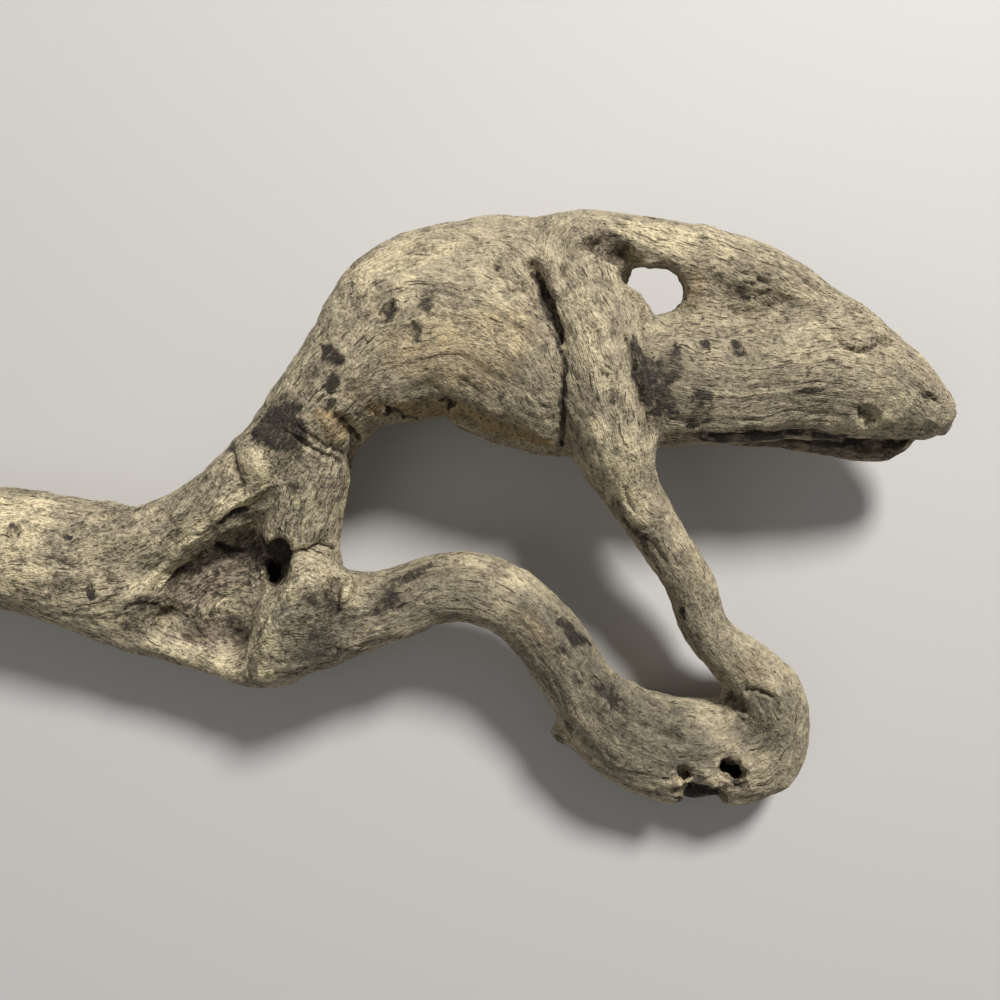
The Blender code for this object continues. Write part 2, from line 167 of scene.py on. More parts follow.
# Forms carved in or raised: depth, half width, points on the plan. A raised form's depth is negative.
FORMS = {
    "body_slit": (4.2, 2.4, [(16, 118), (17.5, 113), (21, 105), (25, 97.5), (28.5, 87.5), (31, 80)]),
    "body_slit_core": (6.5, 2.7, [(22, 104), (25.5, 96.5), (28.5, 89), (30.5, 82)]),
    "slit_side": (2.8, 9, [(12, 108), (17, 96), (22, 84)]),
    "body_crease": (2.8, 1.6, [(30.5, 80), (31.5, 65), (31, 45), (30.5, 27.5), (33, 16), (38, 8)]),
    "leg_valley": (2.2, 2.4, [(62.5, 83), (66.5, 67.5), (70.5, 52.5), (74, 40), (76, 28)]),
    "neck_fold": (4.5, 2.2, [(-79.5, 41), (-74, 35), (-69.5, 29), (-69, 24), (-72, 18), (-74, 13)]),
    "neck_groove_long": (1.3, 1.9, [(-109, 35), (-100, 30), (-90, 24), (-77.5, 17.5)]),
    "neck_groove_upper": (0.9, 1.6, [(-104, 38), (-94, 31.5), (-83, 25.5), (-75, 21)]),
    "neck_groove_lower": (0.9, 1.7, [(-101, 25), (-92, 19.5), (-82, 14)]),
    "neck_rib": (-1, 1.8, [(-107, 36.5), (-98, 31), (-88, 25), (-76, 19)]),
    "neck_bulge": (-2, 9, [(-86, 40), (-79, 32), (-76, 27)]),
    "knee_crease": (
        3.4, 1.8, [(-119, -52.5), (-116, -45), (-110, -32.5), (-104, -26.5), (-91, -23), (-80, -24.5)],
    ),
    "knee_back": (1.8, 2.6, [(-110, -46), (-117, -58), (-124, -70), (-127, -83), (-122, -94)]),
    "knee_edge": (-1.8, 6, [(-104, -50), (-112, -62), (-118, -74), (-119, -88)]),
    "pit_foot": (1.6, 5, [(-113, -43), (-113, -49)]),
    "elbow_groove": (2.4, 1.8, [(-135, 33), (-133.5, 23), (-131, 12.5), (-127, 3)]),
    "elbow_ring": (0.9, 1.1, [(-131, 29), (-126, 32.5), (-119, 31), (-113, 26), (-108, 22)]),
    "elbow_block": (-1, 8, [(-125, 24), (-119, 8)]),
    "flap_gap": (3.2, 2, [(-142.5, -12.5), (-139, -9.5), (-132.5, -6), (-126.5, -4.5)]),
    "flap": (-1.6, 3, [(-140, -16), (-132, -12), (-124, -10)]),
    "torn_line": (
        3.4, 2.1, [(-150, -30), (-146.5, -25), (-142.5, -21.5), (-135, -25), (-129, -26.5), (-121, -20)],
    ),
    "hollow_upper_edge": (2.6, 2, [(-171, -47), (-162.5, -39), (-155, -32.5), (-147.5, -27)]),
    "hollow_lower_edge": (
        2.2, 2.5, [(-188, -55), (-180, -52), (-170, -53.5), (-162.5, -62.5), (-152.5, -72)],
    ),
    "hollow_crack": (1.6, 1.3, [(-168, -52), (-158, -58), (-149, -67), (-141, -73)]),
    "hollow_bump": (-4, 10, [(-142, -52)]),
    "hollow_dip": (2.4, 8, [(-132, -66)]),
    "ridge_crest": (-1.6, 5, [(-186, -50), (-166, -33), (-150, -15), (-136, -3), (-118, 5)]),
    "ridge_strand": (1, 1.2, [(-178, -40), (-164, -26), (-150, -11), (-138, 0)]),
    "trunk_slit": (4, 1, [(-205, -42), (-204.5, -46), (-202.5, -51)]),
    "trunk_dip": (1.6, 9, [(-226, -45), (-210, -48)]),
    "trunk_top_dip": (1.6, 8, [(-196, -8), (-178, -5)]),
    "under_ridge_dip": (1.6, 7, [(-160, 1), (-148, 10)]),
    "crescent": (3.4, 2, [(169, 82), (173, 77), (179, 75), (188, 77.5)]),
    "crescent_lid": (-2.2, 5, [(175, 82), (186, 82)]),
    "band_split_a": (1.5, 0.9, [(151, 110), (158, 106), (165, 100)]),
    "band_split_b": (1.4, 0.9, [(163, 92.5), (168, 90), (173, 87.5)]),
    "band_split_c": (2, 1, [(181, 93), (187, 87), (193, 79)]),
    "band_split_d": (1.2, 0.8, [(170, 99), (178, 92), (184, 86)]),
    "head_arc_a": (0.9, 1.6, [(178, 69), (190, 59.5), (199, 50), (203, 42)]),
    "head_arc_b": (0.7, 1.4, [(167, 66), (173, 70), (181, 66), (187, 56)]),
    "head_dent": (4.6, 5.5, [(180, 45), (186, 40), (184, 36)]),
    "mouth": (3.2, 2.4, [(105, 33), (130, 34), (152, 33.5), (168, 31), (182, 29), (197, 29), (213, 30)]),
    "mouth_open": (2, 3.4, [(170, 28), (180, 26), (192, 26)]),
    "tip_notch": (2.4, 1.4, [(211, 57), (216, 53), (220, 48)]),
    "stub": (-1.6, 2.6, [(-74, -39.5), (-77, -46), (-79.5, -54)]),
    "stub_hollow": (2.2, 4.5, [(-82, -40), (-86, -50)]),
    "leg_slot_a": (1.6, 0.6, [(91.5, -53), (91.8, -59)]),
    "leg_slot_b": (1.4, 0.6, [(94, -52), (94.5, -57)]),
    "leg_long_crack": (0.9, 0.9, [(57, 16), (66, -4), (78, -24), (88, -40)]),
    "foot_bulge": (-2, 9, [(36, -104), (52, -122), (72, -134)]),
    "foot_valley": (4.6, 8, [(60, -102), (67, -107), (76, -113), (90, -119)]),
    "foot_valley_start": (1.6, 7, [(44, -84), (54, -97), (64, -106)]),
    "foot_valley_outer": (1.6, 3.4, [(32, -80), (42, -100), (56, -121)]),
    "foot_streak": (1, 1.8, [(24, -64), (40, -86), (58, -104), (82, -116)]),
    "foot_rib": (-2.2, 5.5, [(50, -76), (66, -93), (84, -103), (100, -106)]),
    "crotch": (4.2, 5.5, [(108, -95), (115, -99), (121, -105)]),
    "crotch_fold": (2.2, 2.2, [(122, -95), (130, -95.5), (137, -99), (139, -107)]),
    "crotch_lid": (-1.2, 5, [(120, -91), (131, -91), (139, -97)]),
    "window_side": (3.6, 5, [(121, -139), (119, -144)]),
    "hole_rim": (2, 4.2, [(91.5, -136)]),
    "body_arc": (1.4, 1.1, [(-35, 137), (-22.5, 135.5), (-12.5, 131), (-5, 125), (0, 118)]),
    "lower_slit": (5, 3.4, [(-57, 47), (-54, 43.5), (-49, 41.5)]),
    "lower_slit_tail": (2.2, 1.6, [(-49, 41.5), (-37.5, 40), (-27.5, 38), (-19, 36.5)]),
    "lower_hole": (6, 3.9, [(-28.5, 49.5), (-24, 48)]),
    "pit_left": (2.8, 3.6, [(-54.5, 99), (-57.5, 92)]),
    "pit_right_top": (2, 4, [(-40, 102), (-34, 100)]),
    "pit_right_low": (2, 3.4, [(-43, 88), (-41, 80)]),
    "pit_rough": (1.1, 5, [(-33, 93)]),
    "hook": (1.6, 1.3, [(-3, 118), (0, 113), (3, 108), (4, 104)]),
    "small_pit_a": (1.4, 1.2, [(8, 136)]),
    "small_pit_b": (1.6, 1.4, [(12.5, 126)]),
    "small_pit_c": (1.6, 1.6, [(32, 117), (33, 113)]),
    "trunk_knot": (1.6, 3.2, [(-242.5, -13), (-242.5, -17)]),
    "trunk_spot": (1.2, 2, [(-219, -19), (-215, -18)]),
    "eye_pocket": (4.4, 9, [(44, 128), (52, 127), (60, 123), (67, 119)]),
    "eye_pocket_lip": (-1.2, 3, [(47, 120), (56, 116), (62, 113)]),
    "fold_left": (-1.3, 4, [(26, 134), (22, 124), (25, 113), (31, 100)]),
    "fold_inner": (1, 1.6, [(40, 136), (33, 130), (31, 120), (34, 108), (39, 98)]),
    "fold_outer": (0.5, 1.3, [(54, 138), (42, 141), (30, 137), (25, 128)]),
    "leg_face_line": (1, 1.3, [(47, 68), (54, 60), (59, 50), (60, 40)]),
    "cream_bulge": (-1, 12, [(4, 79), (9, 74)]),
    "body_waist": (1.6, 10, [(-18, 60), (4, 56)]),
    "brow_fill": (-2.2, 10, [(118, 99), (126, 97)]),
    "brow_dent_a": (0.9, 4.2, [(113, 119), (118, 116)]),
    "brow_dent_b": (0.5, 4, [(122, 115), (127, 112)]),
    "brow_dent_c": (0.8, 3.2, [(129, 110), (133, 107)]),
    "band_end_gap": (4.5, 4.5, [(197, 79), (190, 80.5)]),
    "band_step": (1.1, 4.4, [(131, 103), (146, 99), (158, 92), (168, 83)]),
    "under_head_knot": (-2.5, 4, [(101, 33), (108, 31)]),
    "spur_crack": (1.5, 1, [(30, -112), (33, -119)]),
    "limb_groove_a": (0.9, 1.8, [(-66, -48), (-45, -40), (-22, -33), (0, -37)]),
    "limb_groove_b": (1, 1.8, [(-5, -47), (14, -56), (30, -72), (43, -90)]),
    "limb_groove_c": (0.9, 1.5, [(20, -50), (34, -63), (47, -78), (60, -90)]),
}

# Broken or rotted places with a rough face: height of the roughness, its grain, reach, points on the plan
ROUGH_PLACES = {
    "foot_rim": (2.2, 3.4, 10, [(84, -140), (94, -139), (103, -138), (111, -142)]),
    "foot_window": (2.4, 3.4, 11, [(108, -130), (120, -130), (121, -138), (110, -140)]),
    "spur_end": (1.2, 2.6, 7, [(29, -115), (31, -119)]),
    "rotted_hollow": (2.3, 5.2, 19, [(-168, -56), (-148, -48), (-128, -36), (-116, -28)]),
    "elbow_pit": (2, 3.6, 12, [(-116, -24), (-112, -30), (-114, -38)]),
    "torn_flap": (1.6, 3.4, 11, [(-146, -24), (-132, -18), (-122, -14)]),
    "eye_pocket": (0.8, 3.6, 9, [(48, 130), (62, 124)]),
    "band_end": (0.7, 2.6, 9, [(182, 86), (192, 79)]),
    "head_tip": (0.6, 2.4, 8, [(220, 54), (223, 44), (222, 36)]),
    "body_patch": (0.6, 2.4, 9, [(-36, 98), (-33, 90), (-37, 80)]),
}

# The jaw under the mouth: the black and rotted jaw marks along it are painted shade
JAW_LINE = [(98, 32), (120, 29.5), (148, 27), (178, 23), (200, 24), (208, 27)]

# Stains, tints and painted shade, one table for each kind: strength, reach, points on the plan
# Black: real water stains on the neck, body, head and limbs, and painted shade in the slits, cracks, holes,
# pits and gaps, along the mouth and jaw, in the crotch and inside the foot's arch, hole and window
BLACK = {
    "neck_top": (0.9, 12, [(-122, 33), (-112, 38), (-103, 46)]),
    "neck_low": (0.75, 9, [(-112, 27), (-104, 32), (-99, 38)]),
    "neck_left": (0.5, 7, [(-108, 24), (-98, 20)]),
    "neck_edge": (0.6, 8, [(-112, 42), (-107, 51)]),
    "neck_below": (0.42, 9, [(-112, 22), (-104, 16)]),
    "patch_top": (0.85, 6.5, [(-88, 75), (-82, 70)]),
    "patch_mid": (0.85, 5.5, [(-84, 63), (-85, 54)]),
    "patch_low": (0.8, 4, [(-87, 49), (-83, 47)]),
    "patch_faint": (0.4, 5, [(-86, 90), (-89, 83)]),
    "leg_valley": (0.85, 7, [(67, 78), (72, 65), (77, 52), (79, 42)]),
    "head_root_a": (0.62, 7, [(87, 76), (86, 64), (84, 55)]),
    "head_root_b": (0.62, 6.5, [(98, 54), (100, 45), (96, 38)]),
    "head_root_c": (0.4, 8, [(76, 58), (88, 50), (80, 36)]),
    "head_spot": (1, 3.4, [(100, 79), (104, 76)]),
    "head_oval": (0.85, 3.4, [(118, 79), (120.5, 74)]),
    "head_bar": (1, 3, [(150, 54), (156, 55), (163, 56)]),
    "head_ring_a": (0.4, 3, [(128.5, 92), (128, 70)]),
    "head_ring_b": (0.34, 3, [(139, 92), (138, 74)]),
    "head_ring_c": (0.3, 4, [(156, 76), (156, 62)]),
    "band_spots": (0.5, 4, [(118, 107), (126, 101)]),
    "limb_patch": (0.9, 5.5, [(30, -60), (38, -68), (44, -73)]),
    "limb_patch_low": (0.7, 4, [(27, -74), (33, -77)]),
    "limb_root": (0.65, 6, [(-64, -56), (-57, -51), (-49, -52)]),
    "limb_streaks": (0.65, 4.5, [(-60, -44), (-50, -41), (-40, -35), (-31, -31)]),
    "limb_spot": (0.9, 2.4, [(-36, -31), (-33, -31)]),
    "knee_side": (0.45, 9, [(-92, -62), (-84, -72)]),
    "knee_top": (0.5, 8, [(-98, -46), (-88, -50), (-78, -60)]),
    "stub_shade": (0.6, 3.4, [(-80, -39), (-83, -46), (-86, -55)]),
    "knee_foot": (0.6, 4, [(-84, -76), (-76, -74)]),
    "leg_streak": (0.6, 3.6, [(62, -8), (71, -20), (80, -34)]),
    "leg_slot": (0.9, 2.4, [(91.5, -53), (93, -59)]),
    "crotch": (0.75, 5.5, [(112, -95), (121, -104)]),
    "elbow_pit": (0.9, 11, [(-116, -22), (-107, -22), (-111, -30), (-114, -39)]),
    "pit_left": (0.6, 8, [(-128, -23), (-122, -25)]),
    "flap_gap": (1, 2.6, [(-142, -12), (-139, -9.5), (-132, -6), (-126, -4.5)]),
    "torn_line": (1, 3, [(-148, -27), (-142.5, -22), (-135, -25.5), (-129, -26.5), (-121, -21)]),
    "hollow_left": (0.6, 5, [(-186, -53), (-176, -52), (-168, -56)]),
    "hollow_dip": (0.6, 7, [(-134, -60), (-128, -66)]),
    "hollow_crack": (0.55, 3.4, [(-167, -53), (-157, -60), (-147, -69)]),
    "hollow_upper": (0.6, 4, [(-170, -46), (-160, -37), (-150, -29)]),
    "under_head_knot": (1, 5, [(99, 33), (112, 30)]),
    "mouth": (1, 3.8, [(105, 33), (130, 33), (152, 33), (168, 31), (182, 29), (197, 29), (213, 30)]),
    "lip": (1, 3.2, [(118, 31.8), (140, 30.5), (158, 29.5), (172, 27.5)]),
    "jaw": (0.3, 6.5, JAW_LINE),
    "column_spot": (0.7, 3, [(-106, 8), (-102, 4), (-100, 9)]),
    "column_spot_b": (0.5, 3, [(-90, 2), (-89, -4)]),
    "trunk_grey": (0.35, 8, [(-198, -6), (-182, -4)]),
    "elbow_edge": (0.8, 3, [(-135, 32), (-133.5, 24)]),
    "slit": (1, 3.4, [(17, 113), (20.5, 106), (25, 97), (29, 86), (30.5, 79)]),
    "crease": (1, 2.2, [(30.5, 78), (31.5, 65), (31, 45), (30.5, 27.5), (34, 14), (42, 3)]),
    "body_pit_left": (0.85, 5, [(-54, 100), (-57.5, 91)]),
    "pit_right_top": (0.7, 5.6, [(-40, 103), (-33, 99)]),
    "pit_right_low": (0.65, 4.8, [(-43, 88), (-41, 80)]),
    "lower_hole": (1, 4.8, [(-28.5, 49.5), (-24, 48)]),
    "lower_slit": (1, 3.6, [(-57, 47), (-54, 43.5), (-48, 41.5)]),
    "lower_slit_tail": (0.8, 2.4, [(-48, 41.5), (-37, 40), (-27, 38), (-18, 36)]),
    "hook": (0.9, 1.6, [(-3, 118), (0, 113)]),
    "small_pit_a": (0.8, 1.8, [(8, 136)]),
    "small_pit_b": (0.9, 2, [(12.5, 126)]),
    "small_pit_c": (0.6, 2.2, [(32, 117), (33, 113)]),
    "trunk_knot": (0.8, 3.4, [(-242.5, -13), (-242, -18)]),
    "trunk_spot": (0.8, 2.4, [(-219, -19), (-214, -18)]),
    "trunk_slit": (1, 2, [(-205, -42), (-202.5, -51)]),
    "foot_hole": (1, 3.6, [(91.5, -136)]),
    "foot_cave": (1, 6.5, [(111, -134), (119, -134)]),
    "arch": (1, 6.5, [(90, -146), (99, -147), (108, -146)]),
    "foot_shade": (0.3, 17, [(40, -92), (58, -112), (78, -124)]),
    "window_wall": (0.5, 4, [(120, -140), (118, -145)]),
    "spur_ring": (0.6, 2.4, [(33, -108), (35, -121)]),
    "foot_valley": (0.5, 5.5, [(46, -86), (58, -101), (74.5, -112)]),
    "tip_notch": (1, 1.8, [(211, 57), (216, 53), (220, 48)]),
    "leg_face": (0.5, 3, [(56, 54), (58, 48)]),
}
# Rotted brown: the rotted hollow's own colour, and painted shade on the jaw under the mouth, in the eye
# pocket and on the foot window's wall
ROTTED_AND_SHADED = {
    "hollow_high": (1, 15, [(-166, -52), (-148, -41), (-131, -30), (-118, -22)]),
    "hollow_low": (0.9, 11, [(-156, -66), (-138, -61), (-127, -68)]),
    "hollow_left": (0.7, 9, [(-192, -58), (-178, -60)]),
    "eye_pocket": (1, 10, [(43, 129), (54, 127), (66, 120)]),
    "window_wall": (1, 9, [(119, -139), (116, -145)]),
    "slit_side": (0.5, 9, [(10, 108), (16, 92), (24, 76)]),
    "knee_side": (0.4, 10, [(-98, -54), (-88, -68)]),
    "column_low": (0.4, 9, [(-118, -8), (-108, -14)]),
    "jaw": (1, 8, JAW_LINE),
    "body_patch": (0.35, 9, [(-36, 100), (-32, 92), (-37, 82)]),
    "body_low": (0.2, 9, [(-20, 58), (0, 50), (14, 44)]),
    "band_low": (0.4, 8, [(104, 104), (122, 99)]),
}
# Warm tan: partly the wood's own colour, partly painted warm shade along the body's lower edge and the limbs'
# undersides, turned from the light
WARM = {
    "body": (0.56, 26, [(-50, 76), (-20, 70), (10, 88)]),
    "body_edge": (1, 9, [(-64, 45), (-48, 45), (-22, 45), (-4, 38), (12, 32), (24, 28)]),
    "neck_right": (0.8, 10, [(-90, 42), (-78, 33)]),
    "body_left": (0.45, 10, [(-74, 62), (-66, 50)]),
    "eye_side": (0.5, 8, [(94, 118), (99, 106), (96, 96)]),
    "limb_under": (0.42, 7, [(2, -55), (16, -62), (26, -74)]),
    "leg_foot": (0.4, 10, [(118, -80), (134, -94)]),
    "trunk_low": (0.4, 9, [(-250, -40), (-228, -46)]),
}
CREAM = {
    "trunk_end": (0.65, 15, [(-262, -2), (-240, -8), (-240, -32), (-262, -36)]),
    "trunk_mid": (0.35, 12, [(-214, -24), (-196, -30)]),
    "ridge": (1, 6.5, [(-186, -51), (-166, -33), (-150, -15), (-137, -4), (-122, 3)]),
    "ridge_foot": (0.8, 8, [(-202, -62), (-190, -60)]),
    "lower_ridge": (0.45, 6, [(-176, -71), (-150, -79), (-132, -88)]),
    "elbow": (0.8, 8, [(-126, 24), (-119, 8)]),
    "hollow_bump": (0.5, 7, [(-146, -47), (-134, -56)]),
    "spur": (0.8, 4, [(27, -116)]),
    "stub": (0.9, 4, [(-74, -39.5), (-77, -46), (-79.5, -54)]),
    "body": (0.48, 24, [(-44, 78), (-10, 90), (10, 100)]),
    "crown": (0.7, 15, [(-76, 113), (-52, 122), (-30, 127)]),
    "crown_spot": (0.6, 9, [(-50, 106), (-44, 110)]),
    "bulge": (1, 8, [(-1, 80), (6, 74)]),
    "leg_top": (0.6, 9, [(40, 104), (46, 88), (46, 70)]),
    "leg_face": (0.7, 10, [(48, 40), (58, 18), (70, -8)]),
    "band": (0.6, 9, [(58, 136), (84, 133), (112, 124)]),
    "head_top": (0.2, 12, [(88, 84), (120, 88), (150, 84)]),
    "head_tip": (0.35, 12, [(180, 56), (200, 48)]),
    "knee": (1, 7.5, [(-103, -46), (-111, -60), (-115, -74), (-117, -90)]),
    "limb_top": (0.3, 6, [(-22, -32), (-6, -33), (10, -41)]),
    "column": (0.4, 8, [(-92, 8), (-98, -12)]),
}
# Cooler grey: partly the wood's own grey, partly painted shade that darkens the lower limb, knee, leg and
# foot, furthest from the light, and the head's underside
GREY = {
    "foot": (1, 28, [(48, -98), (74, -116), (98, -126)]),
    "foot_end": (0.85, 26, [(125, -116), (144, -104)]),
    "lower_limb": (0.9, 26, [(14, -56), (34, -80), (52, -100)]),
    "limb": (0.7, 20, [(-66, -54), (-40, -46), (-10, -44)]),
    "knee": (1, 24, [(-106, -58), (-92, -66), (-78, -62)]),
    "leg": (0.55, 18, [(84, -32), (96, -56), (108, -74), (122, -88)]),
    "head_end": (0.45, 26, [(170, 60), (196, 50), (222, 42)]),
    "head_low": (0.5, 16, [(90, 44), (120, 46), (160, 44)]),
    "head_root": (0.6, 16, [(84, 74), (92, 58), (94, 42)]),
    "body_low": (0.3, 20, [(-30, 62), (0, 58), (16, 70)]),
    "trunk": (0.35, 22, [(-228, -24), (-198, -22)]),
    "elbow": (0.5, 18, [(-164, -8), (-146, 8)]),
    "column": (0.55, 14, [(-92, 14), (-98, -4), (-98, -16)]),
    "head_mid": (0.4, 26, [(110, 62), (150, 60)]),
    "head_crest": (0.6, 10, [(140, 84), (152, 80)]),
    "trunk_low": (0.5, 12, [(-196, -60), (-176, -66)]),
}
TINTS = (BLACK, ROTTED_AND_SHADED, WARM, CREAM, GREY)


# Settings that several properties share
COLOUR = {"subtype": "COLOR", "size": 4, "min": 0, "max": 1}
LENGTH = {"subtype": "DISTANCE", "unit": "LENGTH"}


class WoodColours(bpy.types.PropertyGroup):
    """Colours and relief of the weathered wood"""

    cream: FloatVectorProperty(
        name="Cream", description="Sun-bleached crests",
        default=(0.60, 0.52, 0.345, 1), **COLOUR,
    )
    straw: FloatVectorProperty(
        name="Straw", description="Most of the surface, on its lighter side",
        default=(0.46, 0.40, 0.275, 1), **COLOUR,
    )
    greige: FloatVectorProperty(
        name="Greige", description="Most of the surface, on its greyer side",
        default=(0.35, 0.30, 0.213, 1), **COLOUR,
    )
    # Cooler grey of the weathered wood, also used as painted shade on the lower limb, knee, leg and foot,
    # furthest from the light
    grey: FloatVectorProperty(
        name="Grey", description="Where the wood has weathered to a cooler grey",
        default=(0.13, 0.119, 0.092, 1), **COLOUR,
    )
    # Warm tan of the wood, also used as painted warm shade along edges turned from the light
    warm: FloatVectorProperty(
        name="Warm tan", description="Sheltered edges",
        default=(0.355, 0.254, 0.13, 1), **COLOUR,
    )
    # Purplish brown of the rotted hollows, also used as painted shade under the jaw, in the eye pocket and on
    # the foot window's wall
    rotted_and_shade: FloatVectorProperty(
        name="Rotted wood", description="Purplish brown of the hollows",
        default=(0.205, 0.168, 0.125, 1), **COLOUR,
    )
    fibre: FloatVectorProperty(
        name="Dark fibres", description="Fine dark lines along the grain",
        default=(0.075, 0.056, 0.037, 1), **COLOUR,
    )
    # Blue-black of the water stains, also used as painted shade in slits, holes, pits, along the mouth and
    # inside the foot's arch
    stain_and_shade: FloatVectorProperty(
        name="Stain", description="Blue-black water stains",
        default=(0.034, 0.029, 0.026, 1), **COLOUR,
    )
    relief: FloatProperty(
        name="Fine relief", description="Height of the finest fibres and checks",
        default=0.0011, min=0, max=0.005, precision=5, **LENGTH,
    )
    detail: FloatProperty(
        name="Carving detail", description="Size of the mesh that the forms are carved in",
        default=0.001, min=0.0007, max=0.005, precision=5, **LENGTH,
    )
    most_triangles: IntProperty(
        name="Most triangles", description="The finished mesh is thinned to this many",
        default=196000, min=20000, max=200000,
    )


class StageLook(bpy.types.PropertyGroup):
    """Floor and light of the stage"""

    floor: FloatVectorProperty(
        name="Floor", description="The pale table",
        default=(0.60, 0.60, 0.60, 1), **COLOUR,
    )
    sky: FloatVectorProperty(
        name="Sky", description="The light that comes from all round",
        default=(1.0, 0.97, 0.93, 1), **COLOUR,
    )
    sky_strength: FloatProperty(
        name="Sky strength", description="Light from all round", default=0.17, min=0, max=5,
    )
    key_power: FloatProperty(
        name="Key power", description="The main soft light",
        default=74, min=0, max=500, subtype="POWER", unit="POWER",
    )
    floor_size: FloatProperty(
        name="Floor size", description="Side of the table", default=8, min=1, max=50, **LENGTH,
    )


# Noise


def noise_tables():
    """A shuffled index and unit gradients, the same on each run."""
    random = np.random.default_rng(NOISE_SEED)
    gradients = random.normal(size=(256, 3))
    gradients /= np.linalg.norm(gradients, axis=1)[:, None]
    return random.permutation(256), gradients


ORDER, GRADIENTS = noise_tables()


def lumps(points, size, seed=0):
    """Smooth noise from about -1 to 1 at each point. size is one number, or one for each axis."""
    cells = points / size + 19.7 * seed
    base = np.floor(cells).astype(int)
    share = cells - base
    ease = share**3 * (share * (share * 6 - 15) + 10)
    total = np.zeros(len(points))
    for corner in np.ndindex(2, 2, 2):
        x, y, z = ((base + corner) & 255).T
        gradient = GRADIENTS[ORDER[(ORDER[(ORDER[x] + y) & 255] + z) & 255]]
        weight = np.prod(np.where(corner, ease, 1 - ease), axis=1)
        total += weight * np.einsum("ij,ij->i", gradient, share - corner)
    return 1.6 * total


def layered(points, layers, seed):
    """Noise of several heights and sizes, added up. Each takes the next seed."""
    return sum(height * lumps(points, size, seed + number) for number, (height, size) in enumerate(layers))


def smooth_step(low, high, value):
    share = np.clip((value - low) / (high - low), 0, 1)
    return share * share * (3 - 2 * share)


def wobble(points, heights_and_sizes, seed):
    """The points moved about by noise, so that what is drawn on them looks grown."""
    moved = points.copy()
    for height, size in heights_and_sizes:
        for axis in range(3):
            moved[:, axis] += height * lumps(points, size, seed + axis)
    return moved


# Places on the wood


def true_place(x, y, z):
    """Where a point of the plan is at its own height, and how much larger it is there than on the plan."""
    k = (EYE.z - z) / (EYE.z - PLAN_HEIGHT)
    return np.array((x * k + EYE.x, y * k + EYE.y, z)), k


def find_on(tree, x, y):
    """The point of the wood that the eye sees at a point of the plan, or None past its edge. Millimetres."""
    aim = Vector(true_place(x, y, PLAN_HEIGHT)[0])
    place, _, _, _ = tree.ray_cast(EYE, (aim - EYE).normalized())
    return None if place is None else np.array(place)


def line_on(tree, plan):
    """The points of a plan line on the wood, with more between them, so that it follows the surface."""
    found = []
    for (x0, y0), (x1, y1) in zip(plan, plan[1:] or plan):
        steps = max(1, round(math.hypot(x1 - x0, y1 - y0) / POINT_GAP))
        for i in range(steps + 1):
            t = i / steps
            found.append(find_on(tree, x0 + (x1 - x0) * t, y0 + (y1 - y0) * t))
    return [p for p in found if p is not None and p[2] > LOWEST_POINT]


def distance_to(points, line):
    """How far each point is from a line of several runs, and its share of the way along it."""
    nearest = np.linalg.norm(points - line[0], axis=1)
    share = np.zeros(len(points))
    runs = np.diff(line, axis=0)
    lengths = np.linalg.norm(runs, axis=1)
    whole = max(lengths.sum(), 1e-6)
    start = 0
    for a, run, length in zip(line, runs, lengths):
        if 0 < length < LONGEST_RUN:
            t = np.clip((points - a) @ run / length**2, 0, 1)
            distance = np.linalg.norm(points - a - t[:, None] * run, axis=1)
            closer = distance < nearest
            nearest[closer] = distance[closer]
            share[closer] = (start + t[closer] * length) / whole
        start += length
    return nearest, share


def near_line(points, line, reach):
    """The points within reach of a line, by index, and how far they are from it, 1 at the reach's edge.

    A line's reach narrows towards its ends."""
    low, high = np.min(line, axis=0) - reach, np.max(line, axis=0) + reach
    index = np.flatnonzero(((points > low) & (points < high)).all(axis=1))
    distance, share = distance_to(points[index], line)
    if len(line) > 1:
        distance /= 1 - TAPER * (2 * np.abs(share - 0.5)) ** 3
    return index[distance < reach], distance[distance < reach] / reach


# Grain


def grain_stations(rows):
    """Even stations along a grain line: centres, axes (along, across, up), lengths, half thicknesses."""
    rows = np.array([(*true_place(x, y, z)[0], r * true_place(x, y, z)[1]) for x, y, z, r in rows])
    padded = np.vstack([2 * rows[0] - rows[1], rows, 2 * rows[-1] - rows[-2]])
    fine = []
    for p0, p1, p2, p3 in zip(padded, padded[1:], padded[2:], padded[3:]):
        for t in np.linspace(0, 1, CURVE_STEPS, endpoint=False):
            slope, bend, twist = p2 - p0, 2 * p0 - 5 * p1 + 4 * p2 - p3, 3 * p1 - p0 - 3 * p2 + p3
            fine.append(p1 + 0.5 * (slope * t + bend * t**2 + twist * t**3))
    fine = np.array(fine + [rows[-1]])
    run = np.concatenate([[0], np.cumsum(np.linalg.norm(np.diff(fine[:, :3], axis=0), axis=1))])
    lengths = np.linspace(0, run[-1], max(3, round(run[-1] / STATION_GAP)))
    centres = np.stack([np.interp(lengths, run, fine[:, i]) for i in range(4)], axis=1)
    along = np.gradient(centres[:, :3], axis=0)
    along /= np.linalg.norm(along, axis=1)[:, None]
    across = np.cross(along, (0, 0, 1))
    across /= np.linalg.norm(across, axis=1)[:, None]
    return centres[:, :3], np.stack([along, across, np.cross(across, along)], axis=1), lengths, centres[:, 3]


def grain_place(points, stations):
    """Each point's place along, across and up from a grain line, and its distance in half thicknesses."""
    centres, axes, lengths, half = stations
    offsets = points[:, None, :] - centres
    square = np.einsum("ijk,ijk->ij", offsets, offsets)
    spread = 2 * (BLEND_SHARE * half + BLEND_MARGIN) ** 2
    weight = -square / spread
    weight = np.exp(weight - weight.max(axis=1)[:, None])
    weight /= weight.sum(axis=1)[:, None]
    local = np.einsum("ijk,jlk->ijl", offsets, axes)
    local[:, :, 0] += lengths
    return np.einsum("ij,ijl->il", weight, local), np.sqrt((square / half**2).min(axis=1))


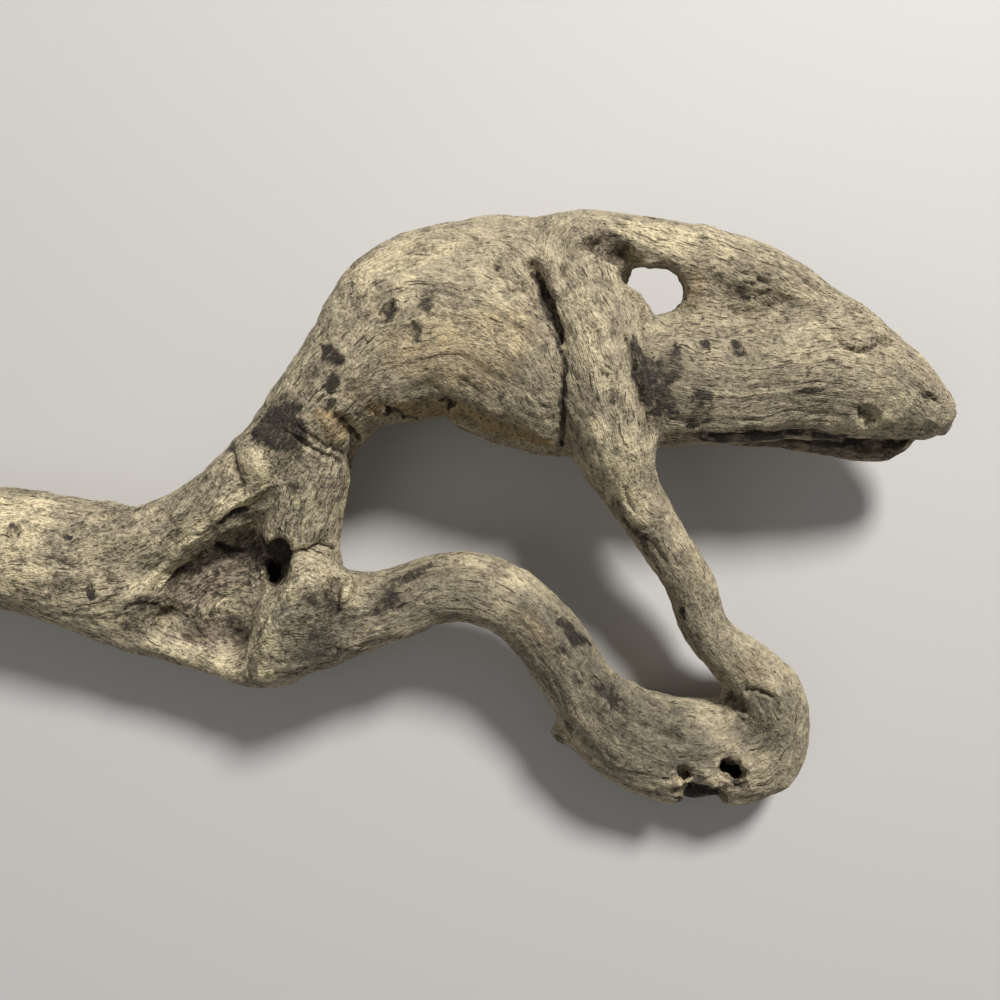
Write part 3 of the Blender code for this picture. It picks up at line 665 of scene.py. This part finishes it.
def flow_round_knots(local, knots):
    """Moves grain places so that lines of equal across and up flow round each knot (its place and radius)."""
    for place, radius in knots:
        offset = local - place
        square = np.einsum("ij,ij->i", offset, offset)
        local[:, 1:] -= offset[:, 1:] * (radius**2 / (square + 0.35 * radius**2))[:, None]
    return local


class Grain:
    """Grain along all the limbs of the wood."""

    def __init__(self, tree):
        self.lines = [grain_stations(rows) for rows in GRAIN_LINES.values()]
        found = [(find_on(tree, x, y), radius) for x, y, radius in KNOTS]
        self.knots = [(place, radius) for place, radius in found if place is not None]

    def places(self, points):
        """The points' places in each line's space, and their distances from each line in half thicknesses."""
        axes = ((WAVES_ALONG, 1), (WAVES_ACROSS, 3), (WAVES_ACROSS, 6))
        waves = np.stack([layered(points, layers, seed) for layers, seed in axes], axis=1)
        local = np.zeros((len(self.lines), len(points), 3))
        distance = np.full((len(self.lines), len(points)), OUT_OF_REACH)
        for number, stations in enumerate(self.lines):
            centres, half = stations[0], stations[3]
            reach = REACH_SHARE * half.max() + REACH_MARGIN
            inside = (points > centres.min(axis=0) - reach) & (points < centres.max(axis=0) + reach)
            index = np.flatnonzero(inside.all(axis=1))
            parts = np.array_split(points[index], GRAIN_PARTS)
            parts = [grain_place(part, stations) for part in parts if len(part)]
            here = np.vstack([place for place, _ in parts])
            knots = [(grain_place(knot[None], stations)[0][0], radius) for knot, radius in self.knots]
            local[number, index] = flow_round_knots(here, knots) + waves[index] + (300 * number, 0, 0)
            distance[number, index] = np.concatenate([far for _, far in parts])
        return local, distance


# Carving


def read_points(mesh, key="co"):
    flat = np.empty(len(mesh.vertices) * 3, np.float32)
    mesh.vertices.foreach_get(key, flat)
    return flat.reshape(-1, 3).astype(float)


def write_points(mesh, points):
    mesh.vertices.foreach_set("co", points.astype(np.float32).ravel())
    mesh.update()


def add_object(name, data):
    """A new object of the scene, at the origin."""
    obj = bpy.data.objects.new(name, data)
    bpy.context.scene.collection.objects.link(obj)
    return obj


def mesh_object(name, bm):
    """A new object made from a bmesh, which is freed."""
    mesh = bpy.data.meshes.new(name)
    bm.to_mesh(mesh)
    bm.free()
    return add_object(name, mesh)


def settle(obj):
    """Replaces an object's mesh by what its modifiers make of it."""
    bpy.context.view_layer.update()
    graph = bpy.context.evaluated_depsgraph_get()
    old = obj.data
    obj.data = bpy.data.meshes.new_from_object(obj.evaluated_get(graph))
    obj.modifiers.clear()
    bpy.data.meshes.remove(old)


def smooth(obj, rounds):
    modifier = obj.modifiers.new("Worn smooth", "SMOOTH")
    modifier.factor = 0.5
    modifier.iterations = rounds


def surface_tree(mesh):
    """A tree of the surface for looking up places on it, in millimetres."""
    return BVHTree.FromPolygons([p / MM for p in read_points(mesh)], [f.vertices for f in mesh.polygons])


def balls(name, shapes):
    """An object made of stretched balls."""
    bm = bmesh.new()
    for x, y, z, sizes, turn in shapes.values():
        place = Vector(true_place(x, y, z)[0])
        matrix = Matrix.LocRotScale(place * MM, Euler((0, 0, math.radians(turn))), Vector(sizes) * MM)
        bmesh.ops.create_icosphere(bm, subdivisions=3, radius=1, matrix=matrix)
    return mesh_object(name, bm)


def fine_copy(node, name, detail):
    """A finer, closed copy of a CAD node: its loose triangles are merged, remeshed and worn smooth."""
    bm = bmesh.new()
    bm.from_mesh(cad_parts[node].data)
    bmesh.ops.remove_doubles(bm, verts=bm.verts, dist=1e-5)
    obj = mesh_object(name, bm)
    helpers = balls("joined_balls", JOINED), balls("cut_out_balls", CUT_OUT)
    for helper, operation in zip(helpers, ("UNION", "DIFFERENCE")):
        modifier = obj.modifiers.new(helper.name, "BOOLEAN")
        modifier.operation, modifier.solver, modifier.use_self = operation, "EXACT", True
        modifier.object = helper
    remesh = obj.modifiers.new("Finer", "REMESH")
    remesh.mode = "VOXEL"
    remesh.voxel_size = detail
    smooth(obj, BASE_ROUNDS)
    settle(obj)
    for helper in helpers:
        bpy.data.meshes.remove(helper.data)
    return obj


def carved(points, normals, tree):
    """The points with every form carved in or raised."""
    grown = wobble(points, FORM_WOBBLE, 20)
    vary = 0.8 + 0.45 * lumps(points, 7, 24)
    move = np.zeros(len(points))
    for depth, half_width, plan in FORMS.values():
        line = line_on(tree, plan)
        if line:
            index, distance = near_line(grown, line, half_width)
            move[index] -= depth * vary[index] * smooth_step(1, 0, distance)
    return points + normals * move[:, None]


def roughened(points, normals, tree):
    """The points with the broken and rotted places made rough."""
    for number, (height, grain, reach, plan) in enumerate(ROUGH_PLACES.values()):
        line = line_on(tree, plan)
        if not line:
            continue
        index, distance = near_line(points, line, reach)
        share = smooth_step(1, 0.35, distance)
        coarse = lumps(points[index], grain * 2.2, number)
        fine = np.abs(lumps(points[index], grain, number + 1))
        move = height * share * (coarse + 0.8 * (0.4 - fine))
        points[index] += normals[index] * move[:, None]
    return points


def grain_relief(places, distances):
    """Heights of the ribs, furrows and long checks along the grain, blended where limbs meet."""
    share = np.exp(-(distances - distances.min(axis=0)) / 0.05)
    share /= share.sum(axis=0)
    relief = np.zeros(places.shape[1])
    for here, weight in zip(places, share):
        index = np.flatnonzero(weight > 0.02)
        at = here[index]
        furrow = smooth_step(0.16, 0.0, np.abs(lumps(at, (40, 5.0, 5.0), 9)))
        open_here = smooth_step(-0.05, 0.45, lumps(at, (26, 13, 13), 10))
        relief[index] += weight[index] * (layered(at, RIBS, 6) - 0.75 * furrow * open_here)
    return relief


def tint_values(points, tree):
    """Strength of each kind of tint at each point."""
    grown = wobble(points, TINT_WOBBLE, 30)
    values = np.zeros((len(points), len(TINTS)))
    for channel, marks in enumerate(TINTS):
        for strength, reach, plan in marks.values():
            line = line_on(tree, plan)
            if line:
                index, distance = near_line(grown, line, 1.5 * reach)
                value = strength * smooth_step(1, 0.2, distance)
                values[index, channel] = np.maximum(values[index, channel], value)
    return values


def hollowness(mesh, points, normals, rounds):
    """How far each point lies below its surroundings, in millimetres. It is negative on a crest."""
    ends = np.empty(len(mesh.edges) * 2, np.int32)
    mesh.edges.foreach_get("vertices", ends)
    a, b = ends.reshape(-1, 2).T
    count = np.bincount(np.concatenate([a, b]), minlength=len(points))[:, None]
    smoothed = points.copy()
    for _ in range(rounds):
        total = np.stack(
            [
                np.bincount(a, smoothed[b, i], len(points)) + np.bincount(b, smoothed[a, i], len(points))
                for i in range(3)
            ],
            axis=1,
        )
        smoothed = 0.5 * (smoothed + total / count)
    return np.einsum("ij,ij->i", smoothed - points, normals)


def thin(obj, most):
    """Thins the mesh to the faces that its forms need."""
    modifier = obj.modifiers.new("Fewer faces", "DECIMATE")
    modifier.ratio = min(1, most / sum(len(f.vertices) - 2 for f in obj.data.polygons))
    settle(obj)


def store(mesh, name, kind, domain, values):
    attribute = mesh.attributes.new(name, kind, domain)
    key = "color" if kind == "FLOAT_COLOR" else "vector"
    attribute.data.foreach_set(key, values.astype(np.float32).ravel())


def store_grain(mesh, grain):
    """Gives each face's corners their place along the limb that the face belongs to."""
    points = read_points(mesh) / MM
    places, distances = grain.places(points)
    corners = np.empty(len(mesh.loops), np.int32)
    mesh.loops.foreach_get("vertex_index", corners)
    faces = np.empty(len(mesh.polygons) * 3, np.float32)
    mesh.polygons.foreach_get("center", faces)
    middle = faces.reshape(-1, 3) / MM
    counts = np.empty(len(mesh.polygons), np.int32)
    mesh.polygons.foreach_get("loop_total", counts)
    owner = np.repeat(np.arange(len(mesh.polygons)), counts)
    first = np.concatenate([[0], np.cumsum(counts)[:-1]])
    sway = 0.05 * lumps(middle, 3, 12)[:, None] * (np.arange(len(places)) % 2)
    line = (distances[:, corners[first]].T + sway).argmin(axis=1)
    store(mesh, "grain", "FLOAT_VECTOR", "CORNER", places[line[owner], corners])


def carve_wood(obj, most):
    """Carves the forms and the grain, and stores what the material needs."""
    tree = surface_tree(obj.data)
    grain = Grain(tree)
    points = carved(read_points(obj.data) / MM, read_points(obj.data, "normal"), tree)
    write_points(obj.data, points * MM)
    points = roughened(points, read_points(obj.data, "normal"), tree)
    write_points(obj.data, points * MM)
    normals = read_points(obj.data, "normal")
    knobbly = sum(height * lumps(points, size, 13 + size) for height, size in KNOBBLY)
    points = points + normals * (knobbly + grain_relief(*grain.places(points)))[:, None]
    points[:, 2] = np.maximum(points[:, 2], 0)
    write_points(obj.data, points * MM)
    thin(obj, most)

    mesh = obj.data
    points, normals = read_points(mesh) / MM, read_points(mesh, "normal")
    tints = tint_values(points, tree)
    near, far = (hollowness(mesh, points, normals, rounds) for rounds in (NEAR_ROUNDS, FAR_ROUNDS))
    store(mesh, "tints", "FLOAT_COLOR", "POINT", tints[:, :4])
    store(mesh, "hollows_and_grey", "FLOAT_VECTOR", "POINT", np.stack([near, far, tints[:, 4]], axis=1))
    store_grain(mesh, grain)
    mesh.shade_smooth()


# Material


class Socket:
    """A value in a material's nodes. Python's arithmetic on it adds Math nodes."""

    def __init__(self, tree, output):
        self.tree, self.output = tree, output

    def node(self, kind, settings, inputs, output=0):
        """Adds a node: its type, its settings, its inputs by name or number, and the output wanted."""
        made = self.tree.nodes.new(kind)
        for key, value in settings.items():
            setattr(made, key, value)
        for key, value in inputs.items():
            if isinstance(value, Socket):
                self.tree.links.new(value.output, made.inputs[key])
            else:
                made.inputs[key].default_value = value
        return Socket(self.tree, made.outputs[output])

    def maths(self, operation, *others):
        return self.node("ShaderNodeMath", {"operation": operation}, dict(enumerate((self, *others))))

    def __add__(self, other):
        return self.maths("ADD", other)

    def __sub__(self, other):
        return self.maths("SUBTRACT", other)

    def __rsub__(self, other):
        return self * -1 + other

    def __mul__(self, other):
        return self.maths("MULTIPLY", other)

    __radd__ = __add__
    __rmul__ = __mul__

    def step(self, low, high):
        """0 where the value is at low, 1 where it is at high, and smooth between them."""
        settings = {"interpolation_type": "SMOOTHSTEP", "clamp": True}
        return self.node("ShaderNodeMapRange", settings, {0: self, 1: low, 2: high, 3: 0.0, 4: 1.0})

    def blend(self, first, second):
        """The first colour where this value is 0, and the second where it is 1."""
        settings = {"data_type": "RGBA", "clamp_factor": True}
        return self.node("ShaderNodeMix", settings, {0: self, 6: first, 7: second}, 2)

    def stretched(self, x, y, z):
        return self.node("ShaderNodeVectorMath", {"operation": "MULTIPLY"}, {0: self, 1: (x, y, z)})

    def noise(self, detail=2.0, roughness=0.55, distortion=0.0):
        """Noise with this vector as its place."""
        inputs = {
            "Vector": self, "Scale": 1.0, "Detail": detail, "Roughness": roughness, "Distortion": distortion,
        }
        return self.node("ShaderNodeTexNoise", {"noise_dimensions": "3D"}, inputs)

    def scaled(self, factor):
        """This colour made lighter or darker by a factor."""
        return self.node("ShaderNodeVectorMath", {"operation": "SCALE"}, {"Vector": self, "Scale": factor})

    def part(self, number):
        return self.node("ShaderNodeSeparateXYZ", {}, {0: self}, number)


def wood_material(look):
    """Weathered wood: bleached crests, greyer sides, dark fibres along the grain, stains and fine checks.
    Some of the grey, warm, rotted and black tints are painted shade, and the wood is drawn darker in its
    furrows and dells.
    """
    material = bpy.data.materials.new("driftwood_finish")
    material.use_nodes = True
    tree = material.node_tree
    finish = tree.nodes["Principled BSDF"]
    start = Socket(tree, None)

    place = start.node("ShaderNodeTexCoord", {}, {}, "Object").stretched(1 / MM, 1 / MM, 1 / MM)

    def stored(name, output):
        return start.node("ShaderNodeAttribute", {"attribute_name": name}, {}, output)

    grain, hollows_and_grey = stored("grain", "Vector"), stored("hollows_and_grey", "Vector")
    tints, cream_tint = stored("tints", "Color"), stored("tints", "Alpha")
    black_tint, rot_and_shade_tint, warm_tint = tints.part(0), tints.part(1), tints.part(2)
    furrow, dell, grey_tint = hollows_and_grey.part(0), hollows_and_grey.part(1), hollows_and_grey.part(2)

    def along(length, width, **settings):
        return grain.stretched(1 / length, 1 / width, 1 / width).noise(**settings) - 0.5

    def patches(size, **settings):
        return place.stretched(1 / size, 1 / size, 1 / size).noise(**settings) - 0.5

    broad, middling = patches(34, detail=3.0), patches(10, detail=3.0)
    small, specks = patches(3.2, detail=2.0), patches(1.5, detail=2.0, roughness=0.7)
    streaks = along(36, 3.6, detail=2.0)
    fibres = along(5.5, 1.3, detail=3.0, roughness=0.7, distortion=0.6)
    hairs = along(3.0, 0.8, detail=2.0, roughness=0.7)

    wild = place.part(0).step(10, -40)
    crowded = place.part(0).step(40, 150) * place.part(1).step(-20, 60) * 0.04 + wild * 0.03
    long_checks = (along(17, 1.15, detail=1.0, distortion=0.25) + crowded).step(0.15, 0.22)
    checks = long_checks * along(30, 9, detail=1.0).step(-0.08, 0.1)
    short_checks = (along(6.5, 0.85, detail=1.0, distortion=0.5) + crowded).step(0.15, 0.21)
    dashes = short_checks * along(12, 6, detail=1.0).step(-0.16, 0.0)
    pores = specks.step(0.17, 0.24) * (broad + middling).step(-0.1, 0.15)

    bleach = (cream_tint + broad * 1.6 + dell * -0.14 + 0.08).step(0.0, 1.0)
    pale = streaks * 1.6 + middling * 1.8 + bleach * 0.5 + 0.35
    colour = pale.step(0.1, 0.9).blend(look.greige, look.straw)
    colour = (bleach * (0.9 + middling * 2.0)).step(0.15, 1.0).blend(colour, look.cream)
    # Grey: the wood's own cooler grey, and painted shade that darkens the lower limb, knee, leg and foot,
    # furthest from the light
    colour = (grey_tint * (0.8 + middling * 1.5)).step(0.05, 1.1).blend(colour, look.grey)
    # Warm tan: the wood's own colour, and painted warm shade along the edges turned from the light
    colour = (warm_tint * (0.9 + middling * 1.6)).step(0.1, 1.1).blend(colour, look.warm)
    # Rotted brown: the rotted hollow's own colour, and painted shade on the jaw under the mouth, in the eye
    # pocket and on the foot window's wall
    rot_and_shade = rot_and_shade_tint - cream_tint * 0.5 + middling * 1.4 + streaks * 0.6
    colour = rot_and_shade.step(0.15, 0.9).blend(colour, look.rotted_and_shade)
    crest = (furrow * -1).step(0.05, 0.5) * 0.3
    colour = crest.blend(colour, look.cream)

    tone = hairs * 1.25 + fibres * 0.75 + specks * 1.6 + small * 1.2 + middling * 1.1 + streaks * 0.5
    tone = 1.0 + tone * (1.0 + wild * 0.4)
    tone = tone + rot_and_shade_tint * (fibres * 2.2 + small * 2.0)
    colour = colour.scaled(tone.maths("MAXIMUM", 0.3))

    # Drawn darker, towards the fibre colour, in furrows and dells: by how far the surface lies below its
    # surroundings
    sunk = furrow.step(0.08, 0.6) * 0.5 + dell.step(0.8, 3.6) * 0.35
    lines = (fibres * -1).step(0.15, 0.32) * 0.35
    dark_lines_and_hollows = (lines + checks * 0.95 + dashes * 0.8 + pores * 0.5) * (1.0 - cream_tint * 0.45) + sunk
    dark_lines_and_hollows = dark_lines_and_hollows.maths("MINIMUM", 0.93)
    colour = dark_lines_and_hollows.blend(colour, look.fibre)
    # Black tint: real water stains, and painted shade in slits, holes, pits and gaps, along the mouth and
    # jaw, in the crotch and inside the foot's arch, broken up along the fibres
    broken = black_tint * 1.5 + fibres * 1.7 + hairs * 0.9 + middling * 2.0 + small * 1.9 - 0.38
    colour = (broken.step(0.0, 0.5) * 0.6).blend(colour, look.fibre)
    colour = (broken.step(0.25, 0.8) * (0.93 - fibres.step(0.02, 0.22) * 0.6)).blend(colour, look.stain_and_shade)
    tree.links.new(colour.output, finish.inputs["Base Color"])

    roughness = 0.84 + fibres * 0.3 + bleach * -0.06
    tree.links.new(roughness.output, finish.inputs["Roughness"])
    finish.inputs["Specular IOR Level"].default_value = 0.25

    height = fibres * 0.9 + hairs * 0.5 + streaks * 0.6 + specks * 0.5 + small * 0.9
    height = height - checks * 0.8 - dashes * 0.6 - pores * 0.6
    bump = start.node("ShaderNodeBump", {}, {"Strength": 1.0, "Distance": look.relief, "Height": height})
    tree.links.new(bump.output, finish.inputs["Normal"])
    return material


def floor_material(look):
    material = bpy.data.materials.new("pale_table")
    material.use_nodes = True
    finish = material.node_tree.nodes["Principled BSDF"].inputs
    finish["Base Color"].default_value = look.floor
    finish["Roughness"].default_value = 0.7
    return material


# Stage


def make_floor(look):
    bm = bmesh.new()
    bmesh.ops.create_grid(bm, x_segments=1, y_segments=1, size=look.floor_size / 2)
    floor = mesh_object("table", bm)
    floor.data.materials.append(floor_material(look))


def add_area_light(name, place, size, power, colour):
    """A round, soft light that points at the middle of the table."""
    light = bpy.data.lights.new(name, "AREA")
    light.shape, light.size, light.energy, light.color = "DISK", size, power, colour
    obj = add_object(name, light)
    obj.location = place
    obj.rotation_euler = (-Vector(place)).to_track_quat("-Z", "Y").to_euler()


def add_camera():
    """The camera stands at the eye and looks straight down, with the plan's Y upwards in the picture."""
    camera = bpy.data.cameras.new("view_from_above")
    camera.lens, camera.sensor_width = LENS, SENSOR
    obj = add_object("view_from_above", camera)
    obj.location = EYE * MM
    bpy.context.scene.camera = obj


class DRIFTWOOD_OT_wood(bpy.types.Operator):
    """Carves the driftwood from its solid and gives it its weathered finish"""

    bl_idname = "driftwood.wood"
    bl_label = "Carve driftwood"
    bl_options = {"REGISTER", "UNDO"}

    def execute(self, context):
        look = context.scene.driftwood_colours
        wood = fine_copy("driftwood", "weathered_driftwood", look.detail)
        carve_wood(wood, look.most_triangles)
        wood.data.materials.clear()
        wood.data.materials.append(wood_material(look))
        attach(wood, "root")
        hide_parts("driftwood")
        return {"FINISHED"}


class DRIFTWOOD_OT_stage(bpy.types.Operator):
    """Sets up the pale table, the soft light and the camera"""

    bl_idname = "driftwood.stage"
    bl_label = "Set up stage"
    bl_options = {"REGISTER", "UNDO"}

    def execute(self, context):
        look = context.scene.driftwood_stage
        make_floor(look)
        add_area_light("key", KEY_PLACE, KEY_WIDTH, look.key_power, KEY_COLOUR)
        add_area_light("fill", FILL_PLACE, FILL_WIDTH, look.key_power * FILL_SHARE, FILL_COLOUR)
        world = bpy.data.worlds.new("soft_sky")
        world.use_nodes = True
        sky = world.node_tree.nodes["Background"].inputs
        sky["Color"].default_value = look.sky
        sky["Strength"].default_value = look.sky_strength
        context.scene.world = world
        context.scene.view_settings.view_transform = "Standard"
        add_camera()
        return {"FINISHED"}


class DRIFTWOOD_PT_sidebar(bpy.types.Panel):
    """Driftwood tools"""

    bl_idname = "DRIFTWOOD_PT_sidebar"
    bl_label = "Driftwood"
    bl_space_type = "VIEW_3D"
    bl_region_type = "UI"
    bl_category = "Driftwood"

    def draw(self, context):
        layout = self.layout
        groups = (
            (context.scene.driftwood_colours, "driftwood.wood"),
            (context.scene.driftwood_stage, "driftwood.stage"),
        )
        for group, operator in groups:
            box = layout.box()
            for name in group.__annotations__:
                box.prop(group, name)
            box.operator(operator)


CLASSES = (WoodColours, StageLook, DRIFTWOOD_OT_wood, DRIFTWOOD_OT_stage, DRIFTWOOD_PT_sidebar)


def register():
    for cls in CLASSES:
        bpy.utils.register_class(cls)
    bpy.types.Scene.driftwood_colours = PointerProperty(type=WoodColours)
    bpy.types.Scene.driftwood_stage = PointerProperty(type=StageLook)


def unregister():
    del bpy.types.Scene.driftwood_stage
    del bpy.types.Scene.driftwood_colours
    for cls in reversed(CLASSES):
        bpy.utils.unregister_class(cls)


def main():
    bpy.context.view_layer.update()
    register()
    bpy.ops.driftwood.wood()
    bpy.ops.driftwood.stage()


if __name__ == "__main__":
    main()
